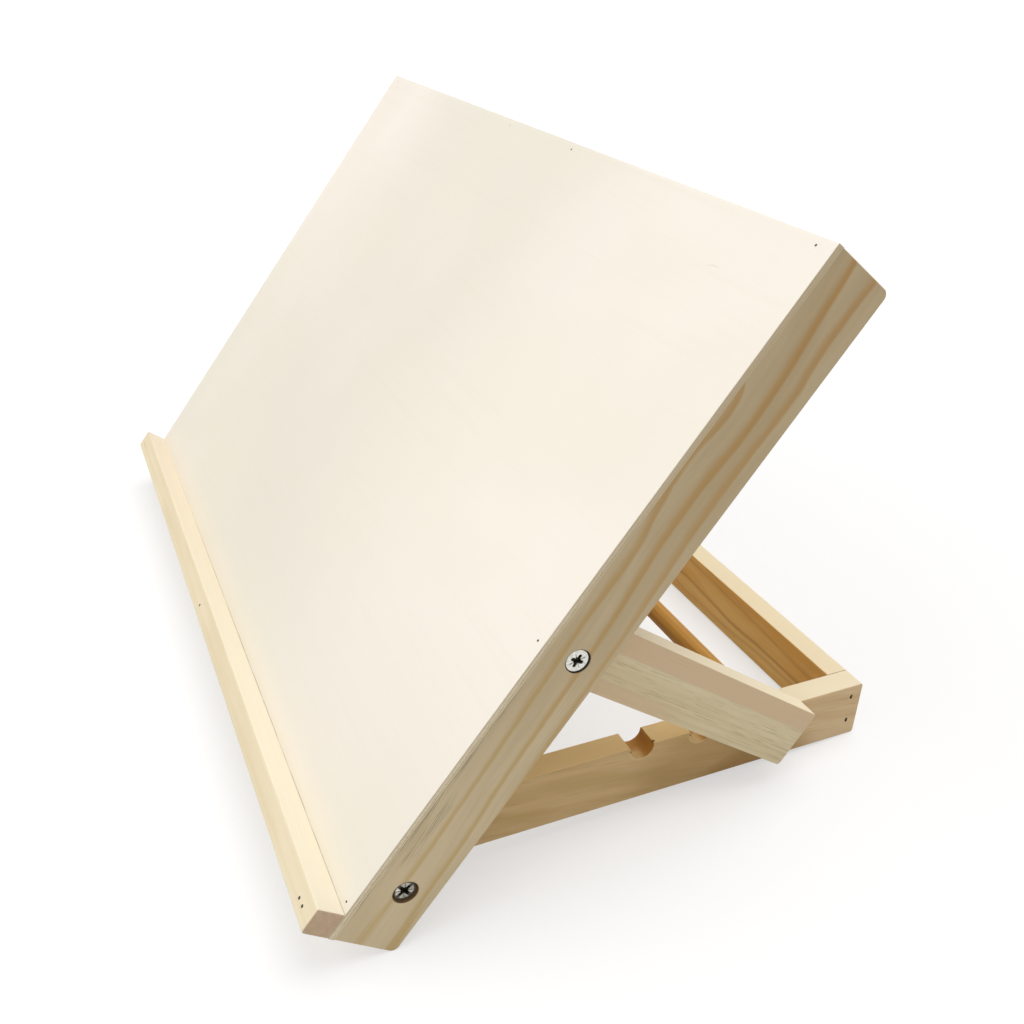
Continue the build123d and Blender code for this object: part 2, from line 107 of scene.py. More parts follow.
class Finish:
    """One procedural material, built up node by node. Its lengths are in millimetres."""

    def __init__(self, name, place):
        self.material = bpy.data.materials.new(name)
        self.material.use_nodes = True
        self.nodes = self.material.node_tree.nodes
        self.links = self.material.node_tree.links
        self.shader = self.nodes["Principled BSDF"]
        self.origin, self.slope = PLACES[place]
        source = self.add("TexCoord")
        self.normal = source.outputs["Normal"]
        mapping = self.add("Mapping", vector_type="TEXTURE")
        self.put(mapping.inputs["Vector"], source.outputs["Object"])
        self.put(mapping.inputs["Location"], self.origin)
        self.put(mapping.inputs["Rotation"], (self.slope, 0, 0))
        self.put(mapping.inputs["Scale"], (MM, MM, MM))
        self.point = mapping.outputs["Vector"]
        split = self.add("SeparateXYZ")
        self.put(split.inputs[0], self.point)
        self.x, self.y, self.z = split.outputs

    def add(self, kind, **settings):
        node = self.nodes.new("ShaderNode" + kind)
        for key, value in settings.items():
            setattr(node, key, value)
        return node

    def put(self, socket, value):
        if isinstance(value, bpy.types.NodeSocket):
            self.links.new(value, socket)
        else:
            socket.default_value = value

    def math(self, operation, *values):
        node = self.add("Math", operation=operation)
        for socket, value in zip(node.inputs, values):
            self.put(socket, value)
        return node.outputs[0]

    def chain(self, operation, values):
        total = values[0]
        for value in values[1:]:
            total = self.math(operation, total, value)
        return total

    def plus(self, *values):
        return self.chain("ADD", values)

    def minus(self, first, second):
        return self.math("SUBTRACT", first, second)

    def times(self, *values):
        return self.chain("MULTIPLY", values)

    def either(self, *values):
        """The greatest of several shares."""
        return self.chain("MAXIMUM", values)

    def size(self, value):
        return self.math("ABSOLUTE", value)

    def square_sum(self, first, second):
        return self.plus(self.times(first, first), self.times(second, second))

    def lengths_from(self, value, place, length):
        """How many of a length a value lies past a place."""
        return self.times(self.minus(value, place), 1.0 / length)

    def from_axis(self, y, z):
        """Distance from a line along X."""
        return self.math("SQRT", self.square_sum(self.minus(self.y, y), self.minus(self.z, z)))

    def step(self, value, low, high):
        """0 at low and 1 at high, smooth between them. Low may be the greater of the two."""
        node = self.add("MapRange", interpolation_type="SMOOTHSTEP")
        forward = low < high
        self.put(node.inputs["Value"], value)
        self.put(node.inputs["From Min"], low if forward else high)
        self.put(node.inputs["From Max"], high if forward else low)
        self.put(node.inputs["To Min"], 0.0 if forward else 1.0)
        self.put(node.inputs["To Max"], 1.0 if forward else 0.0)
        return node.outputs["Result"]

    def between(self, value, low, high, soft):
        """1 from low to high, falling to 0 over a soft edge outside them."""
        return self.times(self.step(value, low - soft, low), self.step(value, high + soft, high))

    def vector(self, x, y, z):
        node = self.add("CombineXYZ")
        for socket, value in zip(node.inputs, (x, y, z)):
            self.put(socket, value)
        return node.outputs[0]

    def noise(self, vector, size, detail=2.0, rough=0.5, seed=0.0):
        """Noise from 0 to 1 about 0.5, with cells of the given size along each of the vector's axes. A seed
        shifts it."""
        scale = self.add("VectorMath", operation="MULTIPLY_ADD")
        self.put(scale.inputs[0], vector)
        self.put(scale.inputs[1], tuple(1.0 / length for length in size))
        self.put(scale.inputs[2], (seed, seed * 0.37, -seed * 0.61))
        node = self.add("TexNoise")
        self.put(node.inputs["Vector"], scale.outputs[0])
        self.put(node.inputs["Scale"], 1.0)
        self.put(node.inputs["Detail"], detail)
        self.put(node.inputs["Roughness"], rough)
        return node.outputs["Fac"]

    def sway(self, value, amount):
        """Noise turned into a swing of plus or minus about the given amount."""
        return self.times(self.minus(value, 0.5), 2.0 * amount)

    def mix(self, share, first, second):
        """The first colour, with a share of the second one over it."""
        node = self.add("Mix", data_type="RGBA")
        self.put(node.inputs[0], share)
        self.put(node.inputs[6], first)
        self.put(node.inputs[7], second)
        return node.outputs[2]

    def facing(self, axis):
        """How squarely a surface faces along an axis of the group's plane, from -1 to 1."""
        node = self.add("VectorMath", operation="DOT_PRODUCT")
        self.put(node.inputs[0], self.normal)
        self.put(node.inputs[1], Matrix.Rotation(self.slope, 3, "X") @ Vector(axis))
        return node.outputs["Value"]

    def bump(self, height, distance):
        node = self.add("Bump")
        self.put(node.inputs["Height"], height)
        self.put(node.inputs["Distance"], distance * MM)
        return node.outputs["Normal"]

    def finish(self, colour, roughness, normal, specular=0.3, metallic=0.0):
        self.put(self.shader.inputs["Base Color"], colour)
        self.put(self.shader.inputs["Roughness"], roughness)
        self.put(self.shader.inputs["Normal"], normal)
        self.put(self.shader.inputs["Specular IOR Level"], specular)
        self.put(self.shader.inputs["Metallic"], metallic)
        return self.material


class Pine(Finish):
    """Bare planed pine with its grain along X or Y of its group's plane. Its fibres follow a course across
    the piece, or drift straight across it by a lean, and sway by the wobble."""

    def __init__(self, name, place, grain, seed, lean=0.0, wobble=1.4, course=None):
        super().__init__(name, place)
        self.seed = seed
        self.along, self.depth = (self.y, self.x) if grain == "Y" else (self.x, self.y)
        self.across = self.z
        plain = self.vector(self.along, self.across, self.depth)
        slow = self.sway(self.noise(plain, (110, 60, 60), detail=1.0, seed=seed), wobble)
        self.ripple = self.sway(self.noise(plain, (28, 12, 12), seed=seed + 3), 0.25 * wobble)
        drift = self.times(self.along, lean) if course is None else self.height_of(course)
        self.flow = self.plus(self.minus(self.across, drift), slow, self.ripple)
        self.point_along = self.vector(self.along, self.flow, self.depth)
        end_axis = (0, 1, 0) if grain == "Y" else (1, 0, 0)
        self.end_face = self.step(self.size(self.facing(end_axis)), 0.6, 0.85)

    # Share of the faces that look up, which the finishes paint paler as if lit from above: painted light
    def painted_lit_top(self):
        return self.step(self.facing((0, 0, 1)), 0.6, 0.9)

    def height_of(self, course):
        """The height of a growth line, which runs smoothly through a few points, each a place along the
        grain and a height across it."""
        start, end = course[0][0], course[-1][0]
        heights = [height for along, height in course]
        low = min(heights)
        rise = max(heights) - low
        node = self.add("FloatCurve")
        curve = node.mapping.curves[0]
        for along, height in course[1:-1]:
            curve.points.new((along - start) / (end - start), (height - low) / rise)
        curve.points[0].location = (0.0, (heights[0] - low) / rise)
        curve.points[-1].location = (1.0, (heights[-1] - low) / rise)
        node.mapping.update()
        self.put(node.inputs["Value"], self.lengths_from(self.along, start, end - start))
        return self.plus(self.times(node.outputs["Value"], rise), low)

    def late_wood(self, courses, width, tilt=0.0):
        """Late wood on single growth lines, each a course and a strength. It rises quickly on the lower
        side, fades over an uneven width above it, broadens along the grain and slants through the piece."""
        flat_point = self.vector(self.along, self.across, 0.0)
        line_point = self.vector(self.along, 0.0, 0.0)
        jagged = self.sway(self.noise(flat_point, (9, 5, 1), rough=0.6, seed=self.seed + 6), 0.5)
        uneven = self.noise(line_point, (30, 1, 1), seed=self.seed + 5)
        broad = self.plus(self.times(self.step(self.along, 40.0, 280.0), 0.45), 0.85)
        reach = self.times(self.plus(self.times(uneven, 1.4 * width), 0.5 * width), broad)
        slant = self.times(self.minus(HALF_WIDTH, self.size(self.depth)), tilt)
        total = 0.0
        for course, strength in courses:
            height = self.minus(self.across, self.height_of(course))
            above = self.plus(height, self.ripple, jagged, slant, 0.5 * width)
            rise = self.step(above, -0.8, 0.8)
            fade = self.step(self.math("DIVIDE", above, reach), 1.0, 0.2)
            total = self.either(total, self.times(rise, fade, strength))
        return total

    def repeated_lines(self, pith, spacing):
        """Late wood on evenly spaced growth rings of differing strengths. The pith is the tree's middle, as
        a place across the grain and a place through the piece."""
        pith_across, pith_depth = pith
        from_pith = self.square_sum(self.minus(self.flow, pith_across), self.minus(self.depth, pith_depth))
        rings = self.plus(self.math("SQRT", from_pith), pith_across)
        turns = self.times(rings, 1.0 / spacing)
        part = self.math("FRACT", turns)
        which = self.add("TexWhiteNoise", noise_dimensions="1D")
        self.put(which.inputs["W"], self.plus(self.math("FLOOR", turns), self.seed))
        strength = self.plus(self.times(which.outputs["Value"], 0.7), 0.3)
        return self.times(self.step(part, 0.35, 0.86), self.step(part, 1.0, 0.9), strength)

    def patch(self, along, across, half_length, half_height):
        """A soft lens-shaped patch on the faces along the grain."""
        a = self.lengths_from(self.along, along, half_length)
        b = self.lengths_from(self.across, across, half_height)
        return self.step(self.square_sum(a, b), 1.0, 0.1)

    def blotched(self, pale, tan, size=(80, 14, 14)):
        """Two tones of the same wood in soft patches."""
        cloud = self.noise(self.point_along, size, detail=3.0, seed=self.seed + 17)
        return self.mix(self.step(cloud, 0.34, 0.66), pale, tan)

    def fibred(self, colour, dark, share, size=(34, 0.5, 0.5), low=0.52, high=0.74):
        """Fine dark fibres over a colour."""
        strands = self.noise(self.point_along, size, detail=3.0, rough=0.55, seed=self.seed + 7)
        return self.mix(self.times(self.step(strands, low, high), share), colour, dark)

    def spare_from_end_grain(self, share):
        """Keeps the end grain off a share of the surface."""
        self.end_face = self.minus(self.end_face, self.times(self.end_face, share))

    def close(self, colour, end_tone, late):
        """End grain, roughness and relief, which finish the wood."""
        strands = self.noise(self.point_along, (30, 0.45, 0.45), detail=3.0, rough=0.6, seed=self.seed + 11)
        pores = self.noise(self.point_along, (5, 0.4, 0.4), rough=0.6, seed=self.seed + 23)
        cloud = self.noise(self.point_along, (9, 3, 3), seed=self.seed + 29)
        end_dark = tuple(0.74 * share for share in end_tone[:3]) + (1.0,)
        end_colour = self.mix(self.step(pores, 0.4, 0.72), end_tone, end_dark)
        end_colour = self.mix(self.times(self.step(cloud, 0.4, 0.65), 0.45), end_colour, END_OLIVE)
        end_colour = self.mix(self.times(late, 0.45), end_colour, end_dark)
        colour = self.mix(self.end_face, colour, end_colour)
        relief = self.plus(self.times(strands, 0.7), self.times(pores, 0.3), self.times(late, 0.35))
        rough = self.plus(self.times(strands, 0.2), 0.5)
        return self.finish(colour, rough, self.bump(relief, distance=0.07))


def torn_by_panel(wood, colour):
    """Torn dark fibres on the lower part of a side rail, and a broken dark seam under the panel."""
    underside = -PANEL_THICKNESS
    strands = wood.noise(wood.point_along, (24, 0.24, 0.24), seed=wood.seed + 31)
    gaps = wood.noise(wood.point_along, (9, 4, 4), rough=0.6, seed=wood.seed + 37)
    low_part = wood.between(wood.along, 26.0, 112.0, soft=18.0)
    by_panel = wood.step(wood.across, underside - 2.4, underside - 0.4)
    stray_across = wood.between(wood.across, -10.5, -7.5, soft=2.0)
    stray_along = wood.between(wood.along, 46.0, 68.0, soft=10.0)
    stray = wood.times(stray_across, stray_along, 0.8)
    torn = wood.times(wood.step(strands, 0.53, 0.62), wood.either(by_panel, stray), low_part)
    colour = wood.mix(wood.times(torn, 0.8), colour, FIBRE_JOINT_AND_SHADE_DARK)
    seam = wood.step(wood.across, underside - 0.4, underside)
    opening = wood.plus(wood.times(low_part, 0.65), 0.12)
    return wood.mix(wood.times(seam, wood.step(gaps, 0.34, 0.6), opening), colour, FIBRE_JOINT_AND_SHADE_DARK)


def painted_screw_hole_shade(wood, colour):
    """Painted shade on the walls of a side rail's two screw holes, with a painted crescent of shade
    reaching a little past each towards the board's back.
    """
    holes = (
        (LOWER_PIVOT_ON_BOARD, LOWER_HOLE_RADIUS, 0.1, tone(112, 86, 52)),
        (UPPER_PIVOT_ON_BOARD, UPPER_HOLE_RADIUS, 0.55, tone(46, 34, 24)),
    )
    for pivot, radius, sag, hole_shade_tone in holes:
        # Painted shade: the hole walls and a crescent below each hole are painted dark
        drilled = wood.step(wood.from_axis(pivot.y, pivot.z), radius + 0.15, radius - 0.1)
        shade_crescent = wood.step(wood.from_axis(pivot.y, pivot.z - sag), radius + 0.25, radius - 0.05)
        dark = wood.either(drilled, shade_crescent)
        colour = wood.mix(dark, colour, hole_shade_tone)
        wood.spare_from_end_grain(dark)
    return colour


def side_rail_pine(name, seed, courses, patches):
    """Grey-tan pine, browner up the board, with a few broad growth lines and torn fibres by the panel."""
    middle_course = courses[1][0]
    wood = Pine(name, "board", "Y", seed, wobble=0.7, course=middle_course)
    late = wood.late_wood(courses, width=3.6, tilt=0.35)
    for along, across, half_length, half_height, strength in patches:
        late = wood.either(late, wood.times(wood.patch(along, across, half_length, half_height), strength))
    up = wood.step(wood.along, -40.0, BOARD_LENGTH + 20.0)
    low_colour = wood.blotched(pale=tone(223, 204, 166), tan=tone(211, 192, 153))
    up_colour = wood.blotched(pale=tone(199, 178, 141), tan=tone(188, 165, 127))
    colour = wood.mix(up, low_colour, up_colour)
    colour = wood.fibred(colour, tone(178, 152, 110), share=0.25)
    line_share = wood.times(late, wood.plus(wood.times(up, 0.28), 0.62))
    line_colour = wood.mix(up, tone(200, 166, 100), tone(182, 140, 80))
    colour = wood.mix(line_share, colour, line_colour)
    colour = torn_by_panel(wood, colour)
    # Painted shade in the two screw holes
    colour = painted_screw_hole_shade(wood, colour)
    return wood.close(colour, END_GRAIN, late)


def across_pine(name, seed, pith):
    """Pine of the board's two hidden rails across."""
    wood = Pine(name, "board", "X", seed, lean=0.006)
    late = wood.repeated_lines(pith, spacing=6.5)
    colour = wood.blotched(pale=tone(234, 216, 180), tan=tone(220, 198, 156))
    colour = wood.mix(wood.times(late, 0.6), colour, tone(212, 168, 106))
    colour = wood.fibred(colour, tone(178, 150, 108), share=0.3)
    return wood.close(colour, END_GRAIN, late)


def ledge_pine(name, seed):
    """Pale smooth pine, palest on the side that paper rests on, which is painted a little darker towards
    its far left end as shade, with a line of painted shade in the crease by the panel that grows stronger
    to the right.
    """
    wood = Pine(name, "board", "X", seed, lean=0.004, wobble=0.8)
    late = wood.repeated_lines(pith=(60.0, -40.0), spacing=3.6)
    colour = wood.blotched(pale=tone(240, 225, 192), tan=tone(233, 216, 181))
    colour = wood.mix(wood.times(late, 0.18), colour, tone(222, 196, 144))
    shelf = wood.step(wood.facing((0, 1, 0)), 0.5, 0.9)
    # Painted shade: the shelf is painted a little darker towards its far left end
    shelf_colour = wood.mix(wood.step(wood.x, -HALF_WIDTH, 120.0), tone(233, 220, 198), tone(238, 229, 208))
    colour = wood.mix(wood.times(shelf, 0.85), colour, shelf_colour)
    colour = wood.fibred(colour, tone(208, 180, 134), share=0.12)
    # Painted shade in the crease where the shelf meets the panel, stronger to the right
    opening = wood.plus(wood.times(wood.step(wood.x, -210.0, 60.0), 0.3), 0.05)
    seam = wood.times(shelf, wood.step(wood.z, 0.45, 0.1), opening)
    colour = wood.mix(seam, colour, FIBRE_JOINT_AND_SHADE_DARK)
    return wood.close(colour, tone(214, 184, 154), late)


def arm_pine(name, seed):
    """Pine that is smooth and pinkish along its upper edge and on its lower edge near the pivot, and grey
    with fine wavy fibres between them."""
    wood = Pine(name, "prop", "Y", seed, wobble=0.9)
    late = wood.repeated_lines(pith=(-90.0, 0.0), spacing=1.3)
    grey = wood.step(wood.flow, 5.4, 4.8)
    low_pink = wood.times(wood.step(wood.flow, -6.5, -9.0), wood.step(wood.along, 90.0, 52.0))
    plain = wood.blotched(pale=tone(233, 218, 180), tan=tone(225, 207, 166))
    fine = wood.fibred(plain, tone(168, 148, 102), share=0.55, size=(14, 0.42, 0.42), low=0.54, high=0.72)
    fine = wood.mix(wood.times(late, 0.25), fine, tone(194, 172, 124))
    smooth = wood.fibred(tone(224, 196, 159), tone(204, 172, 133), share=0.3)
    colour = wood.mix(wood.minus(grey, wood.times(low_pink, 0.8)), smooth, fine)
    # Painted light: the narrow top face is painted paler, as if lit from above
    colour = wood.mix(wood.times(wood.painted_lit_top(), 0.95), colour, tone(254, 240, 208))
    return wood.close(colour, END_GRAIN, late)


def torn_notches(wood, colour, outside):
    """Orange-brown walls in a base rail's notches, painted as the shade in the hollows, pale where their
    front sides and lips are torn, with a dark chip in front of each one and a split behind it."""
    chips = wood.noise(wood.vector(wood.y, wood.z, wood.x), (3, 3, 3), rough=0.6, seed=wood.seed + 43)
    outer_part = wood.plus(wood.size(wood.x), wood.sway(chips, 3.0))
    outer_part = wood.step(outer_part, BASE_OUTER - 7.5, BASE_OUTER - 4.5)
    hollow = 0.0
    for y, z, radius in NOTCHES:
        away = wood.from_axis(y, z)
        inside = wood.step(away, radius + 0.35, radius + 0.1)
        # Painted shade: the notch walls are painted darker orange-brown
        colour = wood.mix(wood.times(inside, 0.92), colour, tone(192, 134, 54))
        lip = wood.step(wood.minus(wood.from_axis(y - 0.5, z - 0.4), chips), radius + 0.4, radius - 0.3)
        torn_lip = wood.times(lip, wood.minus(1.0, inside), outside)
        to_rear = wood.plus(wood.minus(wood.y, y), wood.times(wood.minus(wood.z, z), 0.5))
        torn_wall = wood.times(inside, outer_part, wood.step(to_rear, 0.5, -3.5))
        colour = wood.mix(wood.times(wood.either(torn_lip, torn_wall), 0.8), colour, tone(230, 200, 144))
        chip = wood.times(wood.step(wood.from_axis(y - radius - 0.2, z - 0.6), 0.8, 0.3), outside)
        split_x = wood.lengths_from(wood.size(wood.x), BASE_OUTER - 1.6, 0.9)
        split_y = wood.lengths_from(wood.y, y + radius + 0.6, 0.8)
        split = wood.step(wood.square_sum(split_x, split_y), 1.0, 0.4)
        split = wood.times(split, wood.step(wood.z, z - 1.5, z))
        colour = wood.mix(wood.times(wood.either(chip, split), 0.8), colour, tone(84, 58, 28))
        hollow = wood.either(hollow, wood.step(away, radius + 2.0, radius + 1.5))
    wood.spare_from_end_grain(hollow)
    return colour


def nail_pits(wood, colour, outside):
    """Dark pits round the nails at a base rail's rear end."""
    for height in NAIL_HEIGHTS:
        pit_y = wood.lengths_from(wood.y, NAIL_LINE, NAIL_PIT_HALF_WIDTH)
        pit_z = wood.lengths_from(wood.z, height, NAIL_PIT_HALF_HEIGHT)
        pit = wood.step(wood.square_sum(pit_y, pit_z), 1.2, 0.7)
        colour = wood.mix(wood.times(pit, outside), colour, tone(60, 40, 20))
    return colour


def base_pine(name, sign, seed):
    """Tan pine, brown in its middle and pale at its rear end, with painted light on its top, torn notches
    holding painted shade, and dark nail pits.
    """
    wood = Pine(name, "base", "Y", seed, lean=-0.12, wobble=2.2)
    late = wood.repeated_lines(pith=(-120.0, sign * 260.0), spacing=8.0)
    front = wood.blotched(pale=tone(222, 190, 138), tan=tone(206, 174, 118), size=(50, 9, 9))
    rear = wood.blotched(pale=tone(230, 202, 160), tan=tone(218, 187, 140), size=(50, 9, 9))
    colour = wood.mix(wood.step(wood.along, 165.0, 222.0), front, rear)
    middle = wood.patch(along=158.0, across=-4.0, half_length=54.0, half_height=22.0)
    lower_edge = wood.patch(along=180.0, across=-13.0, half_length=40.0, half_height=12.0)
    brown = wood.either(wood.times(middle, 0.5), lower_edge)
    colour = wood.mix(wood.times(brown, 0.72), colour, tone(164, 124, 66))
    colour = wood.mix(wood.times(late, 0.22), colour, tone(196, 152, 94))
    colour = wood.fibred(colour, tone(176, 138, 88), share=0.3, size=(22, 1.1, 1.1))
    # Painted light: the top face is painted pale, as if lit from above, yellower at the front and paler at
    # the rear
    lit_top_colour = wood.mix(wood.step(wood.along, 150.0, 215.0), tone(252, 220, 160), tone(248, 236, 206))
    colour = wood.mix(wood.times(wood.painted_lit_top(), 0.85), colour, lit_top_colour)
    outside = wood.step(wood.size(wood.x), BASE_OUTER - 1.5, BASE_OUTER - 0.5)
    colour = torn_notches(wood, colour, outside)
    colour = nail_pits(wood, colour, outside)
    return wood.close(colour, END_GRAIN, late)


def rear_pine(name, seed, courses):
    """Pine with wavy growth lines, orange-brown inside the base, partly its own colour and partly painted
    warm bounced light, paler outside, and with painted light on its top.
    """
    main_course = courses[0][0]
    wood = Pine(name, "base", "X", seed, wobble=1.6, course=main_course)
    late = wood.late_wood(courses, width=2.4)
    # The inner face's strong orange is partly painted warm light bounced under the board
    inner = wood.blotched(pale=tone(253, 208, 127), tan=tone(242, 188, 98), size=(70, 9, 9))
    under_line = wood.step(wood.minus(wood.across, wood.height_of(main_course)), 0.2, -0.6)
    inner = wood.mix(wood.times(under_line, 0.35), inner, tone(254, 220, 150))
    inner = wood.mix(wood.times(late, 0.6), inner, tone(184, 121, 50))
    inner = wood.fibred(inner, tone(190, 132, 62), share=0.3)
    outer = wood.blotched(pale=tone(230, 202, 158), tan=tone(218, 187, 140), size=(70, 9, 9))
    outer = wood.mix(wood.times(late, 0.5), outer, tone(196, 150, 92))
    outer = wood.fibred(outer, tone(182, 146, 98), share=0.3)
    colour = wood.mix(wood.step(wood.facing((0, 1, 0)), 0.3, 0.8), inner, outer)
    # Painted light: the top face is painted pale, as if lit from above
    colour = wood.mix(wood.times(wood.painted_lit_top(), 0.9), colour, tone(246, 232, 200))
    return wood.close(colour, END_GRAIN, late)


def turned_wood(name, place, seed, pith):
    """Orange-brown wood of a dowel or a spacer, with its grain along it."""
    wood = Pine(name, place, "X", seed, wobble=0.8)
    late = wood.repeated_lines(pith, spacing=2.4)
    colour = wood.blotched(pale=tone(208, 156, 76), tan=tone(192, 136, 58))
    colour = wood.mix(wood.times(late, 0.45), colour, tone(164, 105, 38))
    colour = wood.fibred(colour, tone(158, 103, 39), share=0.35)
    return wood.close(colour, END_GRAIN, late)


def drawing_face(ply, cloud, figure, flecks, broken):
    """Nearly white veneer with painted light that makes it palest on the right, at the top and in its far
    upper corner, with a scratch and a line of painted shade in the crease by the ledge.
    """
    warm = ply.noise(ply.point, (110, 130, 60), seed=9.0)
    # Painted light: paler to the right, towards the top and in the far upper corner
    upper = ply.times(ply.step(ply.y, 60.0, 280.0), 0.35)
    right = ply.plus(ply.times(ply.step(ply.y, 0.0, 170.0), 0.7), 0.3)
    right = ply.times(ply.step(ply.x, -50.0, 150.0), right)
    far_corner_light = ply.times(ply.step(ply.x, -90.0, -240.0), ply.step(ply.y, 110.0, 270.0))
    pale = ply.math("MINIMUM", ply.plus(ply.either(right, upper), far_corner_light), 1.0)
    colour = ply.mix(pale, tone(237, 230, 215), tone(253, 245, 232))
    colour = ply.mix(ply.times(ply.step(cloud, 0.4, 0.64), 0.3), colour, tone(241, 236, 214))
    colour = ply.mix(ply.times(ply.step(warm, 0.45, 0.66), 0.3), colour, tone(249, 238, 226))
    colour = ply.mix(ply.times(ply.step(figure, 0.5, 0.78), 0.06), colour, tone(226, 206, 174))
    colour = ply.mix(ply.times(ply.step(flecks, 0.66, 0.8), 0.07), colour, tone(196, 168, 130))
    along = ply.lengths_from(ply.x, SCRATCH_X, SCRATCH_HALF_LENGTH)
    curve = ply.times(ply.minus(along, ply.times(along, along)), SCRATCH_RISE)
    across = ply.lengths_from(ply.minus(ply.y, curve), SCRATCH_Y, SCRATCH_HALF_WIDTH)
    scratch = ply.step(ply.square_sum(along, across), 1.0, 0.0)
    colour = ply.mix(ply.times(scratch, 0.2), colour, tone(190, 176, 142))
    # Painted shade in the crease along the ledge, stronger to the right
    opening = ply.plus(ply.times(ply.step(ply.x, -210.0, 60.0), 0.42), 0.08)
    seam = ply.between(ply.y, LEDGE_WIDTH - 0.1, LEDGE_WIDTH + 0.2, soft=0.2)
    return ply.mix(ply.times(seam, broken, opening), colour, tone(140, 130, 98))


def bare_back(ply, cloud, figure):
    """Figured veneer in wavy bands."""
    swirl = ply.sway(ply.noise(ply.point, (240, 60, 60), seed=51.0), 34.0)
    band = ply.math("FRACT", ply.times(ply.plus(ply.y, swirl), 1.0 / BACK_BAND_WIDTH))
    band = ply.times(ply.step(band, 0.1, 0.85), ply.step(band, 1.0, 0.9))
    colour = ply.mix(ply.step(cloud, 0.36, 0.64), tone(244, 233, 210), tone(236, 222, 194))
    colour = ply.mix(ply.times(band, 0.3), colour, tone(220, 197, 158))
    return ply.mix(ply.times(ply.step(figure, 0.45, 0.75), 0.22), colour, tone(212, 189, 152))


def veneer_edges(ply, core_grain, broken):
    """Two veneers and a core between them, with painted shade along the upper rim, dark along the lower
    glue line, and all browner up the board."""
    outer_grain = ply.noise(ply.point, (22, 22, 0.22), rough=0.6, seed=33.0)
    outer = ply.mix(ply.step(outer_grain, 0.4, 0.7), tone(230, 214, 182), tone(204, 184, 148))
    core = ply.mix(ply.step(core_grain, 0.4, 0.72), tone(236, 222, 192), tone(210, 190, 154))
    colour = ply.mix(ply.between(ply.z, CORE_LOW, CORE_HIGH, soft=0.08), outer, core)
    # Painted shade along the upper rim, where the face turns down into the edge; the glue line below is the
    # ply's own dark
    rim_shade = ply.step(ply.z, -0.55, -0.15)
    glue = ply.between(ply.z, CORE_LOW - 0.1, CORE_LOW, soft=0.12)
    dark = ply.times(ply.either(rim_shade, glue), ply.plus(ply.times(broken, 0.5), 0.3))
    colour = ply.mix(dark, colour, tone(146, 124, 90))
    brown = ply.mix(outer_grain, tone(206, 187, 152), tone(190, 169, 133))
    return ply.mix(ply.times(ply.step(ply.y, 110.0, 260.0), 0.8), colour, brown)


def plywood(name):
    """Pale sanded plywood with a bare figured back, and its veneers showing at the edges."""
    ply = Finish(name, "board")
    cloud = ply.noise(ply.point, (150, 120, 60), seed=5.0)
    figure = ply.noise(ply.point, (150, 4.5, 4.5), detail=3.0, rough=0.6, seed=13.0)
    flecks = ply.noise(ply.point, (7, 0.4, 0.4), seed=19.0)
    core_grain = ply.noise(ply.point, (0.6, 0.6, 0.3), rough=0.6, seed=27.0)
    broken = ply.step(ply.noise(ply.point, (12, 6, 6), rough=0.6, seed=41.0), 0.3, 0.6)
    upward = ply.facing((0, 0, 1))
    back = ply.step(upward, -0.6, -0.9)
    edge = ply.step(ply.size(upward), 0.7, 0.35)
    colour = ply.mix(back, drawing_face(ply, cloud, figure, flecks, broken), bare_back(ply, cloud, figure))
    colour = ply.mix(edge, colour, veneer_edges(ply, core_grain, broken))
    relief = ply.plus(ply.times(figure, 0.6), ply.times(flecks, 0.4), ply.times(edge, core_grain, 1.5))
    rough = ply.plus(ply.times(figure, 0.15), 0.5)
    return ply.finish(colour, rough, ply.bump(relief, distance=0.03))


def zinc(name, place, face, bright, dull, dirt_and_shade_share):
    """Zinc-plated steel of a screw, dark in its recess with dirt and painted shade. On a grimy screw,
    painted shade rings its rim and widens its recess's wings, and a dirt film dulls the head but for a
    painted highlight on its front side."""
    steel = Finish(name, place)
    spread = steel.noise(steel.point, (1.6, 1.6, 1.6), detail=3.0, rough=0.6, seed=3.0)
    colour = steel.mix(steel.step(spread, 0.35, 0.7), bright, dull)
    # Painted shade and some dirt darken the recess
    recess_dirt_and_shade = steel.step(steel.size(steel.x), face - 0.12, face - 0.6)
    colour = steel.mix(recess_dirt_and_shade, colour, tone(72, 68, 54))
    # Painted shade round the head's rim and widening the recess's wings
    rim_shade = steel.step(steel.from_axis(0.0, 0.0), 0.72 * SCREW_HEAD_RADIUS, 0.86 * SCREW_HEAD_RADIUS)
    turn_cos = math.cos(BASE_SCREW_TURN)
    turn_sin = math.sin(BASE_SCREW_TURN)
    across = steel.plus(steel.times(steel.y, turn_cos), steel.times(steel.z, turn_sin))
    upright = steel.minus(steel.times(steel.z, turn_cos), steel.times(steel.y, turn_sin))
    off_wing = steel.math("MINIMUM", steel.size(across), steel.size(upright))
    wing_shade = steel.step(steel.plus(off_wing, steel.times(spread, 0.7)), 1.5, 0.9)
    # A dirt film over the head, with a painted highlight left clean on its front side
    painted_highlight = steel.step(steel.from_axis(-2.4, 0.2), 1.9, 1.1)
    film = steel.minus(0.4, steel.times(painted_highlight, 0.4))
    dirt_and_painted_light = steel.times(steel.either(rim_shade, wing_shade, film), dirt_and_shade_share)
    colour = steel.mix(dirt_and_painted_light, colour, tone(58, 54, 42))
    brushed = steel.noise(steel.point, (0.4, 0.12, 0.12), seed=7.0)
    rough = steel.plus(steel.times(spread, 0.25), steel.times(steel.either(recess_dirt_and_shade, dirt_and_painted_light), 0.3), 0.22)
    return steel.finish(colour, rough, steel.bump(brushed, distance=0.02), specular=0.5, metallic=1.0)


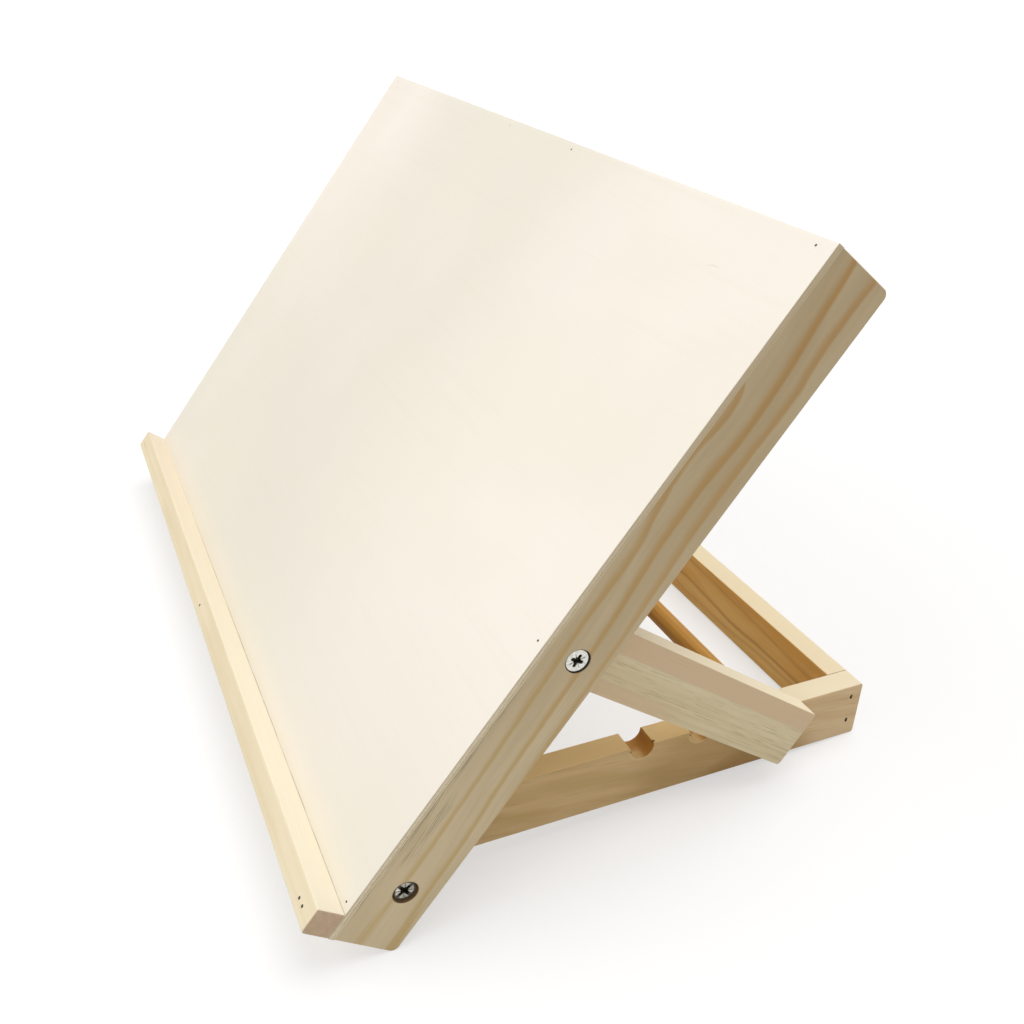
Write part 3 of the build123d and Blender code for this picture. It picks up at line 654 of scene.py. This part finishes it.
def wire(name, place, filler=0.0):
    """Dull dark wire of pins and nails. Those on the left half may be hidden by a pale filler."""
    steel = Finish(name, place)
    spread = steel.noise(steel.point, (0.7, 0.7, 0.7), detail=3.0, rough=0.6, seed=3.0)
    colour = steel.mix(steel.step(spread, 0.35, 0.7), tone(84, 70, 52), tone(54, 44, 32))
    if filler:
        filled = steel.times(steel.step(steel.x, -30.0, -34.0), filler)
        colour = steel.mix(filled, colour, steel.mix(spread, tone(240, 230, 210), tone(226, 212, 186)))
    rough = steel.plus(steel.times(spread, 0.3), 0.5)
    return steel.finish(colour, rough, steel.bump(spread, distance=0.03), specular=0.2, metallic=0.15)


# Growth lines of the rails: each is a course of places along the grain and heights across it, with its
# strength. The right rail's and the rear rail's follow the ones that the photo shows.
RIGHT_COURSES = (
    (((-2, -13.2), (34, -13.9), (84, -12.4), (125, -10.3), (158, -8.3), (180, -8.4), (206, -4.6),
      (226, -2.6), (246, -5.0), (262, 1.0), (314, 4.0)), 0.9),
    (((-2, -28.4), (30, -26.5), (59, -25.6), (84, -23.2), (125, -21.6), (165, -19.0), (206, -15.7),
      (224, -16.0), (243, -17.0), (263, -16.1), (292, -12.7), (314, -9.8)), 1.0),
    (((-2, -37.0), (60, -33.5), (104, -31.0), (143, -29.4), (183, -27.0), (206, -25.5), (242, -25.1),
      (256, -25.6), (290, -22.9), (314, -23.1)), 0.85),
)
LEFT_COURSES = (
    (((-2, -6.5), (90, -8.0), (190, -10.5), (314, -9.0)), 0.8),
    (((-2, -19.5), (80, -17.0), (170, -19.0), (250, -17.5), (314, -14.0)), 1.0),
    (((-2, -33.0), (110, -29.5), (210, -30.5), (314, -26.0)), 0.9),
)
REAR_COURSES = (
    (((-194, 1.0), (-60, -4.0), (62, -0.6), (80, -1.2), (100, -3.0), (120, -4.0), (140, -3.1),
      (194, -3.8)), 1.0),
    (((-194, -9.0), (-20, -7.0), (100, -9.5), (150, -7.2), (194, -8.6)), 0.55),
    (((-194, 8.0), (20, 12.0), (120, 9.0), (160, 6.0), (194, 4.0)), 0.5),
)

# Patches of late wood on the side rails: place along and across, half length, half height and strength
RIGHT_PATCHES = ((4.0, -14.2, 24.0, 3.2, 0.65), (2.0, -29.4, 26.0, 3.0, 0.95))
LEFT_PATCHES = ((150.0, -25.0, 18.0, 1.6, 0.5),)


def dress_node(name, material):
    """Gives a CAD node one finish all over."""
    slots = nodes[name].data.materials
    slots.clear()
    slots.append(material)


dress_node("drawing_panel", plywood("plywood"))
dress_node("right_side_rail", side_rail_pine("right_rail_pine", 2.0, RIGHT_COURSES, RIGHT_PATCHES))
dress_node("left_side_rail", side_rail_pine("left_rail_pine", 12.0, LEFT_COURSES, LEFT_PATCHES))
dress_node("top_rail", across_pine("top_rail_pine", 21.0, pith=(-90.0, 340.0)))
dress_node("bottom_rail", across_pine("bottom_rail_pine", 25.0, pith=(-100.0, -30.0)))
dress_node("paper_ledge", ledge_pine("ledge_pine", 31.0))
dress_node("right_prop_arm", arm_pine("right_arm_pine", 44.0))
dress_node("left_prop_arm", arm_pine("left_arm_pine", 57.0))
dress_node("right_base_rail", base_pine("right_base_pine", 1, 61.0))
dress_node("left_base_rail", base_pine("left_base_pine", -1, 67.0))
dress_node("rear_cross_rail", rear_pine("rear_rail_pine", 71.0, REAR_COURSES))
dress_node("left_pivot_spacer", turned_wood("left_spacer_wood", "base", 75.0, pith=(-20.0, -30.0)))
dress_node("right_pivot_spacer", turned_wood("right_spacer_wood", "base", 77.0, pith=(-20.0, -30.0)))
dress_node("prop_dowel", turned_wood("dowel_wood", "prop", 81.0, pith=(-14.0, 120.0)))
dress_node("corner_dowels", turned_wood("corner_dowel_wood", "board", 85.0, pith=(-40.0, 0.0)))
for side in ("left", "right"):
    clean_zinc = zinc(
        f"{side}_prop_screw_zinc", "prop", PROP_SCREW_FACE,
        bright=tone(226, 226, 220), dull=tone(200, 200, 190), dirt_and_shade_share=0.0,
    )
    # The base screws get painted shade and a painted highlight along with their dirt
    grimy_shaded_zinc = zinc(
        f"{side}_base_screw_zinc", "base", BASE_SCREW_FACE,
        bright=tone(222, 219, 208), dull=tone(168, 162, 148), dirt_and_shade_share=0.9,
    )
    dress_node(f"{side}_prop_screw", clean_zinc)
    dress_node(f"{side}_base_screw", grimy_shaded_zinc)
dress_node("panel_pins", wire("panel_pin_wire", "board", filler=0.85))
dress_node("ledge_pins", wire("ledge_pin_wire", "board", filler=0.7))
dress_node("base_nails", wire("nail_wire", "base"))

# Stage: a white floor that keeps the object's shadow, under an even white surround
FLOOR_REACH = 12.0
FLOOR_BOUNCE = 0.72
FLOOR_SEEN = 0.45
FLOOR_GLOW = 0.56
AMBIENT = 0.42
WHITE = (1.0, 1.0, 1.0, 1.0)
floor_mesh = bpy.data.meshes.new("floor")
corners = [(x * FLOOR_REACH, y * FLOOR_REACH, 0) for x, y in ((-1, -1), (1, -1), (1, 1), (-1, 1))]
floor_mesh.from_pydata(corners, [], [(0, 1, 2, 3)])
floor = bpy.data.objects.new("floor", floor_mesh)
bpy.context.scene.collection.objects.link(floor)


def seen_level(tree, unseen, seen):
    """One value for what is seen, straight or in a reflection, and another for light on the object."""
    path = tree.nodes.new("ShaderNodeLightPath")
    total = path.outputs["Is Camera Ray"]
    for name in ("Is Glossy Ray", "Is Transmission Ray"):
        either = tree.nodes.new("ShaderNodeMath")
        either.operation = "MAXIMUM"
        tree.links.new(total, either.inputs[0])
        tree.links.new(path.outputs[name], either.inputs[1])
        total = either.outputs[0]
    level = tree.nodes.new("ShaderNodeMapRange")
    level.inputs["To Min"].default_value = unseen
    level.inputs["To Max"].default_value = seen
    tree.links.new(total, level.inputs["Value"])
    return level.outputs["Result"]


floor_finish = bpy.data.materials.new("white_floor")
floor_finish.use_nodes = True
floor_tree = floor_finish.node_tree
floor_shader = floor_tree.nodes["Principled BSDF"]
floor_shader.inputs["Roughness"].default_value = 1.0
floor_shader.inputs["Specular IOR Level"].default_value = 0.0
floor_shader.inputs["Emission Color"].default_value = WHITE
floor_tree.links.new(seen_level(floor_tree, FLOOR_BOUNCE, FLOOR_SEEN), floor_shader.inputs["Base Color"])
floor_tree.links.new(seen_level(floor_tree, 0.0, FLOOR_GLOW), floor_shader.inputs["Emission Strength"])
floor_mesh.materials.append(floor_finish)

world = bpy.data.worlds.new("studio")
bpy.context.scene.world = world
world.use_nodes = True
background = world.node_tree.nodes["Background"]
background.inputs["Color"].default_value = WHITE
world.node_tree.links.new(seen_level(world.node_tree, AMBIENT, 1.0), background.inputs["Strength"])


def soft_sun(name, source, spread, level):
    """An even soft light from one side. Its spread is in degrees, and its level is the share of white that
    a surface square to it gets."""
    lamp = bpy.data.lights.new(name, "SUN")
    lamp.angle = math.radians(spread)
    lamp.energy = level * math.pi
    holder = bpy.data.objects.new(name, lamp)
    holder.rotation_euler = (-Vector(source)).to_track_quat("-Z", "Y").to_euler()
    bpy.context.scene.collection.objects.link(holder)


soft_sun("overhead", source=(0.0, 0.3, 1.0), spread=50.0, level=0.5)
soft_sun("front", source=(-0.2, -1.0, 0.8), spread=60.0, level=0.3)

# Camera at the photo's place, in metres, degrees and, for its lens, millimetres
CAMERA_PLACE = (0.50871, -0.17091, 0.36053)
CAMERA_AZIMUTH = 66.763
CAMERA_ELEVATION = 29.855
CAMERA_ROLL = -1.612
CAMERA_LENS = 37.71
SENSOR_WIDTH = 36.0
NEAREST_SEEN = 0.01
camera_data = bpy.data.cameras.new("camera")
camera_data.sensor_width = SENSOR_WIDTH
camera_data.lens = CAMERA_LENS
camera_data.clip_start = NEAREST_SEEN
camera = bpy.data.objects.new("camera", camera_data)
turn = Matrix.Rotation(math.radians(CAMERA_AZIMUTH), 4, "Z")
turn = turn @ Matrix.Rotation(math.radians(90 - CAMERA_ELEVATION), 4, "X")
turn = turn @ Matrix.Rotation(math.radians(CAMERA_ROLL), 4, "Z")
camera.matrix_world = Matrix.Translation(CAMERA_PLACE) @ turn
bpy.context.scene.collection.objects.link(camera)
bpy.context.scene.camera = camera
bpy.context.scene.view_settings.view_transform = "Standard"
